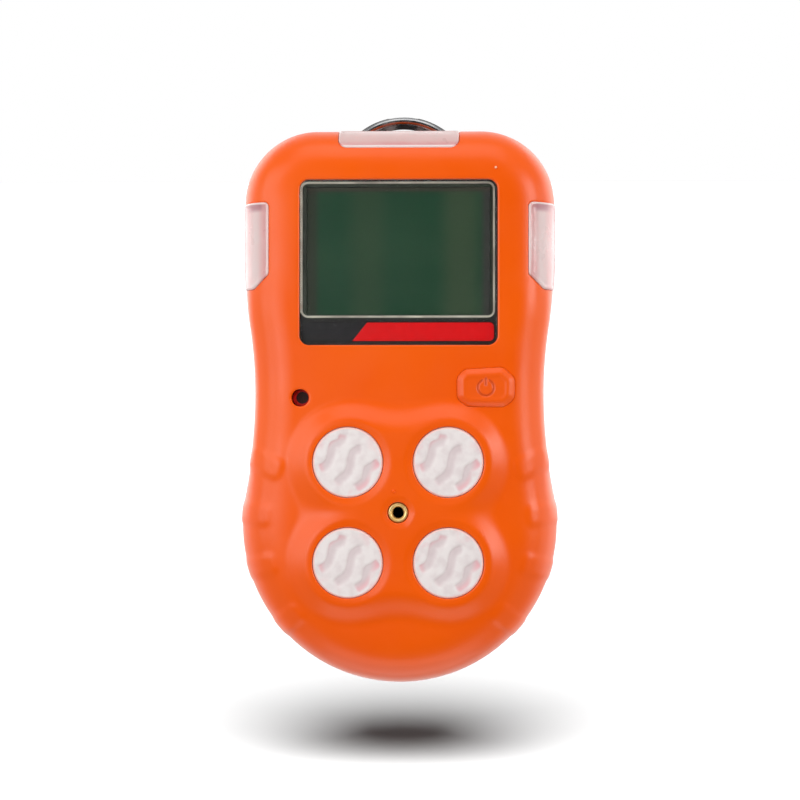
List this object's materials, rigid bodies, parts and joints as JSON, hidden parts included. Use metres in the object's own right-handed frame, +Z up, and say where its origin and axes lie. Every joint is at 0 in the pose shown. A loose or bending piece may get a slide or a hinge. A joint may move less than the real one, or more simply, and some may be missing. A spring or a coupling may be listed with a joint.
{
  "type": "portable gas detector",
  "caption": "Orange hand-size gas detector with a display window, round sensor ports, corner alarm lenses, a push button and a sprung steel clip on its back.",
  "frame": {"origin": "centre of the mouth of the brass calibration insert, between the sensor ports", "axes": "-Y out of the front face, +Z up the device as it is worn, +X to the right seen from the front"},
  "size_m": [0.0698, 0.0426, 0.1279],
  "materials": {
    "housing_orange": "soft satin skin, saturated orange, fine moulded grain",
    "button_orange": "softer satin orange with a sunk power symbol",
    "black_rubber": "matte black moulded rubber",
    "foam": "closed-cell foam",
    "screw_steel": "stainless steel, pan head",
    "brass": "turned brass",
    "gold_contact": "gold-plated brass",
    "window_clear": "clear glossy polycarbonate",
    "strip_print": "black and red print behind the window, no lettering",
    "light_grey_plastic": "light grey moulded bezel",
    "lcd_glass": "dark green display, switched off",
    "white_diffuser": "white diffuser",
    "lens_frosted": "frosted translucent plastic",
    "filter_white": "white dust filter with shallow wavy grooves",
    "mesh_black": "fine black acoustic mesh",
    "black_plastic": "black moulded plastic",
    "sensor_shell": "moulded sensor case with metal pins",
    "board_green": "green circuit board",
    "led_body": "clear red light-emitting diode",
    "connector_white": "white nylon",
    "wire_red": "insulated wire",
    "ribbon_grey": "flat grey cable",
    "battery_wrap": "shrink wrap",
    "motor_steel": "drawn steel can",
    "weight_steel": "sintered steel",
    "label_print": null,
    "clip_steel": "polished stainless sheet",
    "spring_steel": "spring wire"
  },
  "bodies": {
    "housing": {"alarm_leds": "led_body", "alarm_lens_left": "lens_frosted", "alarm_lens_right": "lens_frosted", "alarm_lens_top": "lens_frosted", "battery_connector": "connector_white", "battery_leads": "wire_red", "battery_pack": "battery_wrap", "battery_pad": "foam", "board_screws": "screw_steel", "buzzer": "black_plastic", "buzzer_mesh": "mesh_black", "calibration_insert": "brass", "carbon_monoxide_sensor": "sensor_shell", "charge_contacts": "gold_contact", "clip_base": "clip_steel", "clip_pin": "clip_steel", "clip_screws": "screw_steel", "clip_spring": "spring_steel", "combustible_gas_sensor": "sensor_shell", "display_board": "board_green", "display_header": "connector_white", "display_window": "window_clear", "filter_lower_left": "filter_white", "filter_lower_right": "filter_white", "filter_upper_left": "filter_white", "filter_upper_right": "filter_white", "front_shell": "housing_orange", "housing_gasket": "black_rubber", "housing_screws": "screw_steel", "hydrogen_sulphide_sensor": "sensor_shell", "lcd_backlight": "white_diffuser", "lcd_frame": "light_grey_plastic", "lcd_glass": "lcd_glass", "motor_cradle": "black_plastic", "oxygen_sensor": "sensor_shell", "rear_label": "label_print", "rear_shell": "housing_orange", "ribbon_cable": "ribbon_grey", "sensor_board": "board_green", "sensor_gaskets": "black_rubber", "sensor_header": "connector_white", "sensor_sockets": "gold_contact", "shell_inserts": "brass", "switch_body": "black_plastic", "vibration_motor": "motor_steel", "window_strip": "strip_print"},
    "button": {"power_button": "button_orange"},
    "plunger": {"switch_plunger": "black_plastic"},
    "lever": {"clip_lever": "clip_steel"},
    "motor_weight": {"vibration_weight": "weight_steel"}
  },
  "joints": [
    {"name": "button_press", "type": "slide", "parent": "housing", "child": "button", "axis": [0, 1, 0], "range_m": [0, 0.0005], "stiffness_N_per_m": 900, "springref_m": -0.0006},
    {"name": "switch_travel", "type": "slide", "parent": "housing", "child": "plunger", "axis": [0, 1, 0], "range_m": [0, 0.0005]},
    {"name": "clip_open", "type": "hinge", "parent": "housing", "child": "lever", "pos_m": [0, 0.0332, 0.05], "axis": [1, 0, 0], "range_deg": [0, 16], "stiffness_Nm_per_rad": 0.6, "springref_deg": -28.65, "deforming": ["clip_spring"]},
    {"name": "weight_spin", "type": "hinge", "parent": "housing", "child": "motor_weight", "pos_m": [0.0242, 0.0152, 0.0552], "axis": [0, 0, 1], "continuous": true}
  ],
  "couplings": [
    {"joint": "switch_travel", "follows": "button_press", "ratio": 1}
  ]
}
